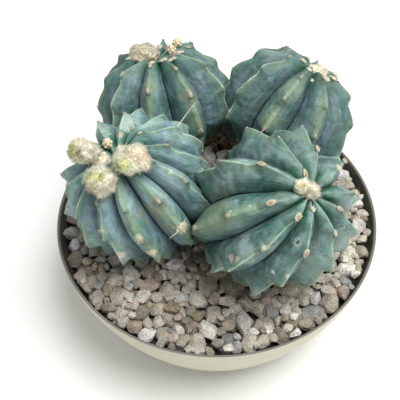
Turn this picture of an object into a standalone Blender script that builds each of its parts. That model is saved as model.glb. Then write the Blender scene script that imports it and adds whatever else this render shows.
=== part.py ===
"""Potted blue barrel cactus: four ribbed barrels, grown close together in a shallow round bowl of gravel.

Metres, +Z up. The origin is the middle of the bowl's flat foot, which stands on z = 0. The front of
the pot faces -Y, and +X is to the right. Each barrel stands on a short foot in a plain hole through
the gravel and into the soil. Woolly buds sit on the crowns.
"""
import math
import random

import bmesh
import bpy
import numpy as np
from mathutils import Matrix, Vector
from mathutils.bvhtree import BVHTree

OBJECT_NAME = "potted_barrel_cactus"
GAP = 0.0003                # between pieces that touch
PRESS = 0.0006              # between barrels that grow against each other

# The bowl: a round plastic pan, 190 mm across its lip
RIM_RADIUS = 0.095
BOWL_HEIGHT = 0.068
FOOT_RADIUS = 0.067
FULLNESS = 1.3              # 1 would be a straight cone, 2 a quarter round
WALL = 0.0032
FLOOR = 0.004
LIP_ROUND = 0.0009
TURN_STEPS = 48

# What fills it
SOIL_TOP = 0.052
BED_TOP = 0.0575            # the gravel's packed surface, which the top stones stand out of
STONE_SIZE = (0.0072, 0.0104)   # half a stone's length
STONE_CROWDING = 0.63       # the least distance of two stones, as a share of their sizes together
STONE_CLEARANCE = 0.0010    # from a stone's corners to a barrel
STONE_RISE = 0.0008         # of a stone's middle over the bed
STONE_TRIES = 9000
STONE_SEED = 7

# The barrels' feet
STEM_RADIUS = 0.010
STEM_DEPTH = 0.012          # below the soil's surface
STEM_SHOULDER = 0.0012      # above the gravel's bed

# A barrel's mesh
COLUMNS = 4                 # from one crest to the next: crest, flank, furrow, flank
BODY_ROWS = 16
END = 156.0                 # where the ribs end, in degrees down from the crown

# Each rib is an azimuth in degrees and the distance of its first areole from the crown in
# millimetres. lean is the direction and the angle that the crown tips to, in degrees.
BARRELS = [
    {"name": "cactus_front_right", "centre": (0.0275, -0.0292, 0.1073), "lean": (-39, 36),
     "radius": 0.0437, "top": 0.0456, "bottom": 0.0354, "stalk": 0.0132, "crown": 0.0065,
     "depth": 0.0125, "areole": 0.0245,
     "ribs": [(14, 2.5), (49, 6), (90, 22.5), (127, 11.5), (163, 6.5), (203, 1), (237, 16.5),
              (269, 6), (306, 21.5), (340, 14.5)]},
    {"name": "cactus_front_left", "centre": (-0.0407, -0.0116, 0.1034), "lean": (-156, 20),
     "radius": 0.0408, "top": 0.0421, "bottom": 0.0371, "stalk": 0.0053, "crown": 0.0095,
     "depth": 0.0105, "areole": 0.022,
     "ribs": [(25, 16.5), (45, 15.5), (78, 4), (117, 11), (149, 2), (180, 17), (206, 7), (226, 20.5),
              (252, 7), (278, 12.5), (308, 18.5), (336, 1.5), (359, 7)]},
    {"name": "cactus_back_right", "centre": (0.0404, 0.0520, 0.0979), "lean": (37, 38),
     "radius": 0.0416, "top": 0.0379, "bottom": 0.0293, "stalk": 0.0081, "crown": 0.0040,
     "depth": 0.0120, "areole": 0.0195,
     "ribs": [(2, 12), (36, 3), (70, 15), (105, 8), (139, 1), (174, 16.5), (205, 1), (242, 8),
              (280, 18), (327, 6.5)]},
    {"name": "cactus_back_left", "centre": (-0.0305, 0.0574, 0.0945), "lean": (117, 19),
     "radius": 0.0415, "top": 0.0424, "bottom": 0.0312, "stalk": 0.0010, "crown": 0.0066,
     "depth": 0.0120, "areole": 0.020,
     "ribs": [(7, 19), (47, 10), (84, 3), (120, 14), (157, 6), (194, 15.5), (225, 6.5), (264, 16),
              (304, 4.5), (341, 12)]},
]
TOOTH = 0.0022              # how far a crest climbs to an areole
TOOTH_RISE = 0.62           # the share of the spacing in which it climbs
BULGE = 0.0016              # how far a flank swells between crest and furrow

# Buds and wool: the barrel each sits on, its azimuth and angle down from the crown in degrees, how
# high its middle stands off the skin, and its size across, along and up
BUDS = [
    ("woolly_bud_1", "cactus_front_left", 308, 20, 0.0056, (0.0184, 0.0168, 0.0160)),
    ("woolly_bud_2", "cactus_front_left", 253, 26, 0.0058, (0.0172, 0.0180, 0.0165)),
    ("woolly_bud_3", "cactus_front_left", 182, 21, 0.0044, (0.0150, 0.0140, 0.0140)),
    ("woolly_lump", "cactus_front_left", 200, 9, 0.0016, (0.0090, 0.0080, 0.0060)),
    ("bare_bud", "cactus_front_left", 117, 10, 0.0015, (0.0056, 0.0056, 0.0060)),
    ("back_left_wool", "cactus_back_left", 170, 9, 0.0034, (0.0180, 0.0130, 0.0105)),
    ("back_left_bud_1", "cactus_back_left", 10, 12, 0.0016, (0.0056, 0.0056, 0.0064)),
    ("back_left_bud_2", "cactus_back_left", 44, 22, 0.0016, (0.0060, 0.0060, 0.0060)),
    ("front_right_wool_1", "cactus_front_right", 170, 9, 0.0020, (0.0070, 0.0070, 0.0068)),
    ("front_right_wool_2", "cactus_front_right", 320, 1, 0.0022, (0.0074, 0.0068, 0.0068)),
    ("back_right_wool", "cactus_back_right", 270, 3, 0.0004, (0.0210, 0.0080, 0.0052)),
]

# Colours, with roughness
CREAM = ((0.70, 0.68, 0.50), 0.45)
EARTH = ((0.10, 0.07, 0.05), 0.95)
PUMICE = ((0.46, 0.39, 0.32), 0.9)
SKIN = ((0.13, 0.27, 0.25), 0.6)
WOOL = ((0.80, 0.74, 0.60), 0.95)
BUD_TAN = ((0.62, 0.42, 0.28), 0.8)


def material(name, look):
    """A plain Principled material of one colour."""
    made = bpy.data.materials.new(name)
    made.use_nodes = True
    shader = made.node_tree.nodes["Principled BSDF"]
    shader.inputs["Base Color"].default_value = (*look[0], 1)
    shader.inputs["Roughness"].default_value = look[1]
    shader.inputs["Metallic"].default_value = 0
    made.diffuse_color = (*look[0], 1)
    return made


def new_object(name, mesh, group, made_of=None):
    obj = bpy.data.objects.new(name, mesh)
    group.objects.link(obj)
    if made_of:
        mesh.materials.append(made_of)
    return obj


def as_mesh(bm, name):
    mesh = bpy.data.meshes.new(name)
    bm.to_mesh(mesh)
    bm.free()
    return mesh


def cutter(name, mesh, group):
    """A guide for a Boolean, which isn't part of the object."""
    obj = new_object(name, mesh, group)
    obj.hide_render = True
    obj.display_type = "WIRE"
    return obj


def apply_modifiers(obj):
    """Puts the evaluated shape in the object's own mesh."""
    depsgraph = bpy.context.evaluated_depsgraph_get()
    depsgraph.update()
    shape = bpy.data.meshes.new_from_object(obj.evaluated_get(depsgraph))
    obj.modifiers.clear()
    obj.data = shape


def keep_main_body(obj):
    """Drops the loose scraps that a cut can leave beside the main body."""
    bm = bmesh.new()
    bm.from_mesh(obj.data)
    bmesh.ops.remove_doubles(bm, verts=bm.verts, dist=0.000002)
    left = set(bm.verts)
    bodies = []
    while left:
        body = {left.pop()}
        edge_of_body = list(body)
        while edge_of_body:
            vert = edge_of_body.pop()
            for edge in vert.link_edges:
                other = edge.other_vert(vert)
                if other in left:
                    left.remove(other)
                    body.add(other)
                    edge_of_body.append(other)
        bodies.append(body)
    main = max(bodies, key=len)
    bmesh.ops.delete(bm, geom=[v for v in bm.verts if v not in main], context="VERTS")
    bm.to_mesh(obj.data)
    bm.free()


def settle_against(obj, neighbour, clearance, group):
    """Gives obj the form of a neighbour that it presses on, with a clearance between them.

    The MANIFOLD solver makes this cut, because EXACT leaves a sliver where two crests cross.
    """
    swollen = cutter(obj.name + "_against_" + neighbour.name, neighbour.data.copy(), group)
    swollen.matrix_world = neighbour.matrix_world
    swell = swollen.modifiers.new("Swell", "DISPLACE")
    swell.strength = clearance
    swell.mid_level = 0
    cut = obj.modifiers.new("Settle", "BOOLEAN")
    cut.operation = "DIFFERENCE"
    cut.solver = "MANIFOLD"
    cut.object = swollen
    apply_modifiers(obj)
    bpy.data.objects.remove(swollen)
    keep_main_body(obj)


def turned(name, profile, group, made_of):
    """A profile of (radius, height) points, turned round the Z axis."""
    mesh = bpy.data.meshes.new(name)
    points = [(radius, 0, height) for radius, height in profile]
    mesh.from_pydata(points, [(i, i + 1) for i in range(len(points) - 1)], [])
    obj = new_object(name, mesh, group, made_of)
    screw = obj.modifiers.new("Turn", "SCREW")
    screw.steps = TURN_STEPS
    screw.render_steps = TURN_STEPS
    screw.use_merge_vertices = True
    screw.merge_threshold = 0.00001
    apply_modifiers(obj)
    return obj


def outer_radius(height):
    """The bowl's outside at a height: from the foot it swells out, then rises to the lip."""
    share = height / BOWL_HEIGHT
    return FOOT_RADIUS + (RIM_RADIUS - FOOT_RADIUS) * (1 - (1 - share) ** FULLNESS) ** (1 / FULLNESS)


def inner_radius(height):
    return outer_radius(height) - WALL


def make_bowl(group):
    """The bowl is one wall with a rounded lip on a flat floor."""
    top = BOWL_HEIGHT - LIP_ROUND
    rises = [FLOOR + (top - FLOOR) * i / 4 for i in range(5)]
    falls = [top * (1 - i / 6) ** 1.5 for i in range(7)]
    profile = [(0, FLOOR)]
    profile += [(inner_radius(height), height) for height in rises]
    profile += [(inner_radius(top) + LIP_ROUND, BOWL_HEIGHT), (outer_radius(top) - LIP_ROUND, BOWL_HEIGHT)]
    profile += [(outer_radius(height), height) for height in falls]
    profile += [(0, 0)]
    return turned("bowl", profile, group, material("cream_plastic", CREAM))


def filling(name, bottom, top, group, made_of):
    """A layer that fills the bowl from wall to wall."""
    heights = [top + (bottom - top) * i / 3 for i in range(4)]
    profile = [(0, top)] + [(inner_radius(height) - GAP, height) for height in heights] + [(0, bottom)]
    return turned(name, profile, group, made_of)


def cut_sockets(obj, feet, bottom, group):
    """Plain round holes for the barrels' feet."""
    bm = bmesh.new()
    height = BOWL_HEIGHT - bottom
    for foot in feet:
        place = Matrix.Translation((foot.x, foot.y, bottom + height / 2))
        bmesh.ops.create_cone(bm, cap_ends=True, segments=16, radius1=STEM_RADIUS + GAP,
                              radius2=STEM_RADIUS + GAP, depth=height, matrix=place)
    sockets = cutter(obj.name + "_sockets", as_mesh(bm, obj.name + "_sockets"), group)
    cut = obj.modifiers.new("Sockets", "BOOLEAN")
    cut.operation = "DIFFERENCE"
    cut.solver = "EXACT"
    cut.object = sockets
    apply_modifiers(obj)
    bpy.data.objects.remove(sockets)


def smooth(low, high, value):
    """0 below low, 1 above high and an S between."""
    share = np.clip((value - low) / (high - low), 0, 1)
    return share * share * (3 - 2 * share)


class Barrel:
    """A ribbed barrel as a formula.

    theta runs round the axis and psi down from the crown, both in degrees. Each flank is ruled
    from a crest curve to the furrow curve beside it, and the crest climbs to every areole.
    """

    def __init__(self, sizes):
        self.sizes = sizes
        self.name = sizes["name"]
        self.centre = np.array(sizes["centre"])
        self.ribs = np.array([rib[0] for rib in sizes["ribs"]], float)
        self.first_areole = np.array([rib[1] / 1000 for rib in sizes["ribs"]])
        direction, tip = np.radians(sizes["lean"])
        turn = Matrix.Rotation(direction, 3, "Z")
        self.axes = np.array(turn @ Matrix.Rotation(tip, 3, "Y") @ turn.transposed())

    def meridian(self, psi):
        """Radius and height of a crest line, seen from the barrel's middle."""
        across = np.sin(np.radians(psi))
        along = np.cos(np.radians(psi))
        rho = self.sizes["radius"] * np.abs(across) ** 0.9
        upper = self.sizes["top"] * np.abs(along) ** 0.8
        lower = -self.sizes["bottom"] * np.abs(along) - self.sizes["stalk"] * smooth(112, END, psi)
        dimple = self.sizes["crown"] * np.exp(-(rho / (0.28 * self.sizes["radius"])) ** 2)
        return rho, np.where(along > 0, upper, lower) - dimple

    def outward(self, psi):
        """The crest line's outward normal, as its parts across and along the axis."""
        rho_below, z_below = self.meridian(psi + 0.25)
        rho_above, z_above = self.meridian(np.maximum(psi - 0.25, 0))
        across, along = z_above - z_below, rho_below - rho_above
        length = np.hypot(across, along)
        return across / length, along / length

    def surface(self, theta, psi):
        """Points of the skin, one for each pair of theta and psi."""
        count = len(self.ribs)
        turned_by = np.mod(theta - self.ribs[0], 360) + self.ribs[0]
        before = np.searchsorted(self.ribs, turned_by, side="right") - 1
        after = (before + 1) % count
        space = np.mod(self.ribs[after] - self.ribs[before], 360)
        past = turned_by - self.ribs[before]
        rib = np.where(past < space / 2, before, after)
        side = np.where(past < space / 2, 1.0, -1.0)
        share = np.where(past < space / 2, past, space - past) / (space / 2)

        rho, height = self.meridian(psi)
        across, along = self.outward(psi)
        grow = smooth(0, 36, psi) ** 0.8
        fade = 1 - 0.72 * smooth(112, END, psi)
        wide = np.minimum(space * count / 360, 1.2) ** 0.7
        deep = self.sizes["depth"] * (0.1 + 0.9 * grow) * fade * wide

        # the tooth climbs slowly to its areole and drops quickly below it
        walked = (self.sizes["radius"] + self.sizes["top"]) / 2 * np.radians(psi)
        place = np.mod((walked - self.first_areole[rib]) / self.sizes["areole"] + TOOTH_RISE, 1)
        climb = np.where(place < TOOTH_RISE, place / TOOTH_RISE, (1 - place) / (1 - TOOTH_RISE))
        tooth = 0.05 - 0.5 * np.cos(np.pi * climb)
        lift = TOOTH * tooth * grow * fade * np.exp(-(share / 0.36) ** 2)
        swell = BULGE * grow * fade * (1 + 0.9 * tooth) * np.sin(np.pi * share ** 0.85)

        crest_turn = np.radians(self.ribs[rib])
        furrow_turn = crest_turn + side * np.radians(space / 2)
        flank_turn = crest_turn + side * np.radians(space / 2) * 0.55
        crest = around(crest_turn, rho, height)
        furrow = around(furrow_turn, np.maximum(rho - across * deep, 0), height - along * deep)
        points = crest * (1 - share)[:, None] + furrow * share[:, None]
        points += around(flank_turn, across, along) * swell[:, None]
        points += around(crest_turn, across, along) * lift[:, None]
        return points @ self.axes.T + self.centre

    def foot(self):
        """The point under the end of the ribs, where the stem goes into the gravel."""
        end = np.array([0, 0, self.meridian(np.array([END]))[1][0]])
        return Vector(self.axes @ end + self.centre)

    def seat(self, theta, psi):
        """A point of the skin and the way up from it, for a bud."""
        point = self.surface(np.array([float(theta)]), np.array([float(psi)]))[0]
        across, along = self.outward(np.array([float(psi)]))
        up = self.axes @ around(np.radians([float(theta)]), across, along)[0]
        return Vector(point), Vector(up).normalized()


def around(turn, radius, height):
    """Points at an angle round the axis, a radius and a height."""
    return np.stack([radius * np.cos(turn), radius * np.sin(turn), height], 1)


def make_barrel(barrel, group, made_of):
    """A barrel starts as a sphere, whose columns follow the ribs and whose rows run down them."""
    count = len(barrel.ribs)
    columns = count * COLUMNS
    rows = BODY_ROWS + 3
    bm = bmesh.new()
    bmesh.ops.create_uvsphere(bm, u_segments=columns, v_segments=rows, radius=1)
    foot = barrel.foot()
    verts = list(bm.verts)
    theta, psi, row_of = [], [], []
    for vert in verts:
        column = round(math.atan2(vert.co.y, vert.co.x) / math.tau * columns) % columns
        row = round(math.acos(max(-1, min(1, vert.co.z))) / math.pi * rows)
        rib, step = divmod(column, COLUMNS)
        space = (barrel.ribs[(rib + 1) % count] - barrel.ribs[rib]) % 360
        theta.append(barrel.ribs[rib] + space * step / COLUMNS)
        psi.append(END * min(row, BODY_ROWS) / BODY_ROWS)
        row_of.append(row)
    points = barrel.surface(np.array(theta), np.array(psi))
    levels = {BODY_ROWS + 1: BED_TOP + STEM_SHOULDER, BODY_ROWS + 2: SOIL_TOP - STEM_DEPTH}
    for vert, angle, row, point in zip(verts, theta, row_of, points):
        if row == rows:
            vert.co = (foot.x, foot.y, SOIL_TOP - STEM_DEPTH)
        elif row in levels:
            turn = math.radians(angle)
            reach = Vector((math.cos(turn), math.sin(turn), 0)) * STEM_RADIUS
            vert.co = (foot.x + reach.x, foot.y + reach.y, levels[row])
        else:
            vert.co = point
    obj = new_object(barrel.name, as_mesh(bm, barrel.name), group, made_of)
    return obj


def make_bud(name, barrel, theta, psi, lift, size, group, made_of):
    """A bud is a ball with a lumpy skin, pushed onto the crown."""
    fine = 3 if min(size) > 0.012 else 2
    bm = bmesh.new()
    bmesh.ops.create_icosphere(bm, subdivisions=fine, radius=0.5)
    for vert in bm.verts:
        x, y, z = vert.co * 9
        lumps = math.sin(1.3 * x + 2 * z) * math.sin(1.7 * y + x) + 0.6 * math.sin(2.3 * z - y)
        vert.co *= 1 + 0.045 * lumps
    point, up = barrel.seat(theta, psi)
    middle = point + up * lift
    turn = up.to_track_quat("Z", "Y").to_matrix().to_4x4()
    place = Matrix.Translation(middle) @ turn @ Matrix.Diagonal((*size, 1))
    bmesh.ops.transform(bm, matrix=place, verts=bm.verts)
    return new_object(name, as_mesh(bm, name), group, made_of)


def tree_of(obj):
    bm = bmesh.new()
    bm.from_mesh(obj.data)
    tree = BVHTree.FromBMesh(bm)
    bm.free()
    return tree


def stone_shape(rng, spot, size):
    """A stone is a worn lump with few sides, flatter than it is long."""
    bm = bmesh.new()
    bmesh.ops.create_icosphere(bm, subdivisions=1, radius=1)
    for vert in bm.verts:
        vert.co *= rng.uniform(0.82, 1.0)
    flat = (size, size * rng.uniform(0.72, 0.95), size * rng.uniform(0.40, 0.52))
    place = Matrix.Translation(spot) @ Matrix.Rotation(rng.uniform(0, math.tau), 4, "Z")
    bmesh.ops.transform(bm, matrix=place @ Matrix.Diagonal((*flat, 1)), verts=bm.verts)
    return bm


def scatter_stones(rng, feet, trees, group):
    """Stones that lie close together, inside the wall and clear of every barrel and foot."""
    places = []
    for _ in range(STONE_TRIES):
        size = rng.uniform(*STONE_SIZE)
        turn = rng.uniform(0, math.tau)
        reach = (inner_radius(BED_TOP) - 0.9 * size) * math.sqrt(rng.random())
        spot = Vector((reach * math.cos(turn), reach * math.sin(turn), BED_TOP + STONE_RISE))
        if any((spot - other).length < STONE_CROWDING * (size + other_size) for other, other_size in places):
            continue
        if min((spot.xy - foot.xy).length for foot in feet) < STEM_RADIUS + size + PRESS:
            continue
        bm = stone_shape(rng, spot, size)
        shape = BVHTree.FromBMesh(bm)
        crossed = any(tree.overlap(shape) for tree in trees)
        nearest = min(tree.find_nearest(vert.co)[3] for tree in trees for vert in bm.verts)
        farthest = max(vert.co.xy.length for vert in bm.verts)
        if crossed or nearest < STONE_CLEARANCE or farthest > inner_radius(BED_TOP) - GAP:
            bm.free()
            continue
        places.append((spot, size))
        cutter("stone", as_mesh(bm, "stone"), group)


def make_gravel(feet, barrels, group, cutters):
    """The gravel is a packed bed from wall to wall, with the top stones standing out of it."""
    bed = filling("gravel", SOIL_TOP + GAP, BED_TOP, group, material("pumice_gravel", PUMICE))
    cut_sockets(bed, feet, SOIL_TOP - GAP, cutters)
    stones = bpy.data.collections.new("stones")
    bpy.context.scene.collection.children.link(stones)
    scatter_stones(random.Random(STONE_SEED), feet, [tree_of(barrel) for barrel in barrels], stones)
    join = bed.modifiers.new("Stones", "BOOLEAN")
    join.operation = "UNION"
    join.solver = "EXACT"
    join.operand_type = "COLLECTION"
    join.collection = stones
    apply_modifiers(bed)
    for stone in list(stones.objects):
        bpy.data.objects.remove(stone)
    bpy.data.collections.remove(stones)


def make_everything():
    for obj in list(bpy.data.objects):
        bpy.data.objects.remove(obj)
    group = bpy.data.collections.new(OBJECT_NAME)
    cutters = bpy.data.collections.new("cutters")
    bpy.context.scene.collection.children.link(group)
    bpy.context.scene.collection.children.link(cutters)

    bowl = make_bowl(group)
    skin = material("cactus_skin", SKIN)
    shapes = {sizes["name"]: Barrel(sizes) for sizes in BARRELS}
    barrels = []
    for shape in shapes.values():
        barrel = make_barrel(shape, group, skin)
        for neighbour in [bowl] + barrels:
            settle_against(barrel, neighbour, PRESS, cutters)
        barrels.append(barrel)

    wool = material("wool", WOOL)
    tan = material("bare_bud_skin", BUD_TAN)
    buds = []
    for name, carrier, theta, psi, lift, size in BUDS:
        bud = make_bud(name, shapes[carrier], theta, psi, lift, size, group, wool if "wool" in name else tan)
        for neighbour in [barrel for barrel in barrels if barrel.name == carrier] + buds:
            settle_against(bud, neighbour, GAP, cutters)
        buds.append(bud)

    feet = [shape.foot() for shape in shapes.values()]
    soil = filling("soil", FLOOR + GAP, SOIL_TOP, group, material("potting_soil", EARTH))
    cut_sockets(soil, feet, SOIL_TOP - STEM_DEPTH - GAP, cutters)
    make_gravel(feet, barrels, group, cutters)

    for obj in group.objects:
        obj.data.shade_smooth()
        obj.data.set_sharp_from_angle(angle=math.radians(32))


make_everything()
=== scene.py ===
"""Looks of the potted blue barrel cactus: four ribbed barrels in a shallow round bowl of pumice gravel.

Metres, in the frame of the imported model: +Z is up, the bowl's foot stands on z = 0 and -Y is the front.
"""

import math
import random

import bmesh
import bpy
import numpy as np
from mathutils import Matrix, Vector, noise
from mathutils.bvhtree import BVHTree
from mathutils.kdtree import KDTree


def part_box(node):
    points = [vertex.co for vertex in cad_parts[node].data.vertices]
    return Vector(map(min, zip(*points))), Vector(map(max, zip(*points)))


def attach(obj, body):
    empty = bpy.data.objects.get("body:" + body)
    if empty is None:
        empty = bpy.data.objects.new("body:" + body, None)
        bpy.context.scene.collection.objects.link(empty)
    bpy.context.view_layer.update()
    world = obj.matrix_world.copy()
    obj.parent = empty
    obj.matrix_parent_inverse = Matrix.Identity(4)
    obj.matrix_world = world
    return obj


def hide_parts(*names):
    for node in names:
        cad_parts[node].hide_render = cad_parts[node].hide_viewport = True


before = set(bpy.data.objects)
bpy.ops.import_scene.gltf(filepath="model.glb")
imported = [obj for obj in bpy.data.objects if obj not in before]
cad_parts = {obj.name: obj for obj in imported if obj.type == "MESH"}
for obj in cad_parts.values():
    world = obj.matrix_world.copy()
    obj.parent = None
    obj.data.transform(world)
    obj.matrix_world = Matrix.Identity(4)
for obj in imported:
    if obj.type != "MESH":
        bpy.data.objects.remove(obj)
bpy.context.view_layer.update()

# Camera, light and floor
# The camera looks down on the bowl from the front, as the photograph does. A large soft lamp hangs
# overhead, and the white room lights the rest.
CAMERA_LOOKS_AT = (0, 0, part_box("bowl")[1].z)
CAMERA_DISTANCE = 0.4189
CAMERA_ELEVATION = 52.26
CAMERA_ROLL = 0.15
CAMERA_LENS = 63
CAMERA_FILM = 36
CAMERA_SHIFT = (-16.9 / 400, 12.4 / 400)
LAMP_PLACE = (0.30, -0.10, 1.02)
LAMP_SIZE = 0.70
LAMP_POWER = 12.2
ROOM_LIGHT = 0.46
FLOOR_SIZE = 3.0
FLOOR_DROP = -0.0002        # a hair under the foot
FLOOR_WHITE = (0.96, 0.96, 0.95)


def as_mesh(bm, name):
    mesh = bpy.data.meshes.new(name)
    bm.to_mesh(mesh)
    bm.free()
    return mesh


def new_object(name, data):
    """An object in the scene."""
    obj = bpy.data.objects.new(name, data)
    bpy.context.scene.collection.objects.link(obj)
    return obj


turn = Matrix.Rotation(math.radians(90 - CAMERA_ELEVATION), 4, "X")
turn = turn @ Matrix.Rotation(math.radians(CAMERA_ROLL), 4, "Z")
camera = new_object("camera", bpy.data.cameras.new("camera"))
camera.data.lens = CAMERA_LENS
camera.data.sensor_width = CAMERA_FILM
camera.data.shift_x, camera.data.shift_y = CAMERA_SHIFT
camera.data.clip_start = 0.01
camera.matrix_world = Matrix.Translation(CAMERA_LOOKS_AT) @ turn @ Matrix.Translation((0, 0, CAMERA_DISTANCE))
bpy.context.scene.camera = camera

lamp = new_object("soft_lamp", bpy.data.lights.new("soft_lamp", "AREA"))
lamp.data.shape = "DISK"
lamp.data.size = LAMP_SIZE
lamp.data.energy = LAMP_POWER
lamp.location = LAMP_PLACE
lamp.rotation_euler = (Vector(CAMERA_LOOKS_AT) - lamp.location).to_track_quat("-Z", "Y").to_euler()

world = bpy.data.worlds.new("white_room")
world.use_nodes = True
room = world.node_tree.nodes["Background"].inputs
room["Color"].default_value = (1, 1, 1, 1)
room["Strength"].default_value = ROOM_LIGHT
bpy.context.scene.world = world
bpy.context.scene.view_settings.view_transform = "Standard"


class Finish:
    """A Principled material, put together node by node. Its colour is laid on in coats."""

    def __init__(self, name, roughness, colour=None, sheen=0.0):
        self.material = bpy.data.materials.new(name)
        self.material.use_nodes = True
        self.tree = self.material.node_tree
        self.shader = self.tree.nodes["Principled BSDF"]
        self.shader.inputs["Roughness"].default_value = roughness
        self.shader.inputs["Sheen Weight"].default_value = sheen
        self.here = self.node("TexCoord", {}).outputs["Object"]
        self.colour = colour

    def feed(self, value, socket):
        """A socket takes another node's output, a number or a colour."""
        if isinstance(value, bpy.types.NodeSocket):
            self.tree.links.new(value, socket)
        elif socket.type == "RGBA":
            socket.default_value = (*value, 1)
        else:
            socket.default_value = value

    def node(self, kind, inputs, **settings):
        made = self.tree.nodes.new("ShaderNode" + kind)
        for key, value in settings.items():
            setattr(made, key, value)
        for key, value in inputs.items():
            self.feed(value, made.inputs[key])
        return made

    def attribute(self, name, output="Fac"):
        return self.node("Attribute", {}, attribute_name=name).outputs[output]

    def pattern(self, kind, scale, output, at=None, **inputs):
        """A texture at a scale, or stretched by three of them."""
        at = at or self.here
        if isinstance(scale, tuple):
            at, scale = self.node("Mapping", {"Vector": at, "Scale": scale}).outputs["Vector"], 1
        return self.node(kind, {"Vector": at, "Scale": scale, **inputs}).outputs[output]

    def noise(self, scale, detail=3.0, distortion=0.0, at=None):
        return self.pattern("TexNoise", scale, "Fac", at, Detail=detail, Distortion=distortion)

    def cells(self, scale):
        return self.pattern("TexVoronoi", scale, "Distance")

    def spread(self, value, low, high, start=0.0, end=1.0):
        """Carries the range low to high onto start to end, with soft ends."""
        inputs = {"Value": value, "From Min": low, "From Max": high, "To Min": start, "To Max": end}
        return self.node("MapRange", inputs, interpolation_type="SMOOTHSTEP").outputs["Result"]

    def sum(self, first, *others, operation="ADD"):
        for other in others:
            first = self.node("Math", {0: first, 1: other}, operation=operation).outputs[0]
        return first

    def times(self, *values):
        return self.sum(*values, operation="MULTIPLY")

    def mix(self, factor, first, second, blend="MIX"):
        made = self.node("Mix", {0: factor, 6: first, 7: second}, data_type="RGBA", blend_type=blend)
        return made.outputs[2]

    def coat(self, factor, tint, blend="MIX"):
        self.colour = self.mix(factor, self.colour, tint, blend)

    def lay(self, tint, value, low, high, cover=1.0):
        """Lays a tint on as the value goes from low to high."""
        self.coat(self.spread(value, low, high, 0, cover), tint)

    def shade(self, value, low, high):
        """Darkens or lightens the colour by a value that is carried onto low to high."""
        self.coat(1.0, self.spread(value, 0, 1, low, high), "MULTIPLY")

    def spot(self, middle, radius, rim, full, uneven, tint, cover):
        """Lays on a ragged spot. It fades from full to rim, which are shares of its radius."""
        away = self.node("VectorMath", {0: self.here, 1: middle}, operation="DISTANCE").outputs["Value"]
        ragged = self.sum(away, self.times(uneven, radius * 1.8))
        self.lay(tint, ragged, radius * rim, radius * full, cover)

    def relief(self, height, distance):
        bump = self.node("Bump", {"Height": height, "Distance": distance})
        self.feed(bump.outputs["Normal"], self.shader.inputs["Normal"])

    def done(self, roughness=None):
        self.feed(self.colour, self.shader.inputs["Base Color"])
        if roughness is not None:
            self.feed(roughness, self.shader.inputs["Roughness"])
        return self.material


bm = bmesh.new()
bmesh.ops.create_grid(bm, x_segments=1, y_segments=1, size=FLOOR_SIZE / 2)
floor = new_object("floor", as_mesh(bm, "floor"))
floor.data.materials.append(Finish("floor_paint", 0.9, FLOOR_WHITE).done())
floor.location.z = FLOOR_DROP

# Bowl
# A shallow round pan of moulded plastic, cream outside and stained dark inside. It is turned from
# one profile: the wall swells out from the foot and ends in a small rounded lip.
RIM_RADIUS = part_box("bowl")[1].x
BOWL_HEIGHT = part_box("bowl")[1].z
FOOT_RADIUS = 0.067
FULLNESS = 1.3
WALL = 0.0032
LIP_WALL = 0.0018            # the wall thins towards the lip, between these heights
LIP_FROM, LIP_TO = 0.052, 0.066
BOWL_FLOOR = 0.004
LIP_ROUND = 0.0007
LIP_GREYED = (0.0016, 0.0006)   # how far below the top the grey starts and is full
BOWL_STEPS = 240
WALL_STEPS = 30
CREAM = (0.565, 0.560, 0.420)
CREAM_WORN = (0.50, 0.47, 0.34)
STAINED = (0.070, 0.068, 0.055)
STAIN_PALE = (0.16, 0.15, 0.125)
LIP_GREY = (0.16, 0.155, 0.135)


def smooth(low, high, value):
    """0 below low, 1 above high and an S between."""
    share = np.clip((value - low) / (high - low), 0, 1)
    return share * share * (3 - 2 * share)


def outer_radius(height):
    """The bowl's outside at a height."""
    share = height / BOWL_HEIGHT
    return FOOT_RADIUS + (RIM_RADIUS - FOOT_RADIUS) * (1 - (1 - share) ** FULLNESS) ** (1 / FULLNESS)


def inner_radius(height):
    return outer_radius(height) - WALL + (WALL - LIP_WALL) * smooth(LIP_FROM, LIP_TO, height)


def spun(profile, steps):
    """A profile of (radius, height) points, spun round the upright axis."""
    bm = bmesh.new()
    verts = [bm.verts.new((radius, 0, height)) for radius, height in profile]
    edges = [bm.edges.new(pair) for pair in zip(verts, verts[1:])]
    bmesh.ops.spin(bm, geom=verts + edges, cent=(0, 0, 0), axis=(0, 0, 1), angle=math.tau, steps=steps,
                   use_merge=True, use_duplicate=False)
    bmesh.ops.remove_doubles(bm, verts=bm.verts, dist=0.000001)
    bmesh.ops.recalc_face_normals(bm, faces=bm.faces)
    return bm


def piece(name, mesh, finishes, replaced=(), sharp=40):
    """Makes a mesh a piece of the object. It rides on the part's one body."""
    for finish in finishes:
        mesh.materials.append(finish)
    mesh.shade_smooth()
    mesh.set_sharp_from_angle(angle=math.radians(sharp))
    obj = new_object(name, mesh)
    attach(obj, "root")
    if replaced:
        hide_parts(*replaced)


top = BOWL_HEIGHT - LIP_ROUND
profile = [(0, BOWL_FLOOR)]
profile += [(inner_radius(height), height) for height in np.linspace(BOWL_FLOOR, top, WALL_STEPS)]
lip_middles = (inner_radius(top) + LIP_ROUND, outer_radius(top) - LIP_ROUND)
for middle, start in ((lip_middles[0], 180), (lip_middles[1], 90)):
    for angle in np.radians(np.linspace(start, start - 90, 6)):
        profile.append((middle + LIP_ROUND * math.cos(angle), top + LIP_ROUND * math.sin(angle)))
profile += [(outer_radius(height), height) for height in top * np.linspace(1, 0, WALL_STEPS) ** 1.5]
profile += [(0, 0)]
bm = spun(profile, BOWL_STEPS)
bmesh.ops.remove_doubles(bm, verts=bm.verts, dist=0.00001)
for face in bm.faces:
    centre = face.calc_center_median()
    inside = centre.xy.length < inner_radius(centre.z) + LIP_WALL * 0.85
    face.material_index = 1 if inside and centre.z > BOWL_FLOOR * 0.9 else 0

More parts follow.
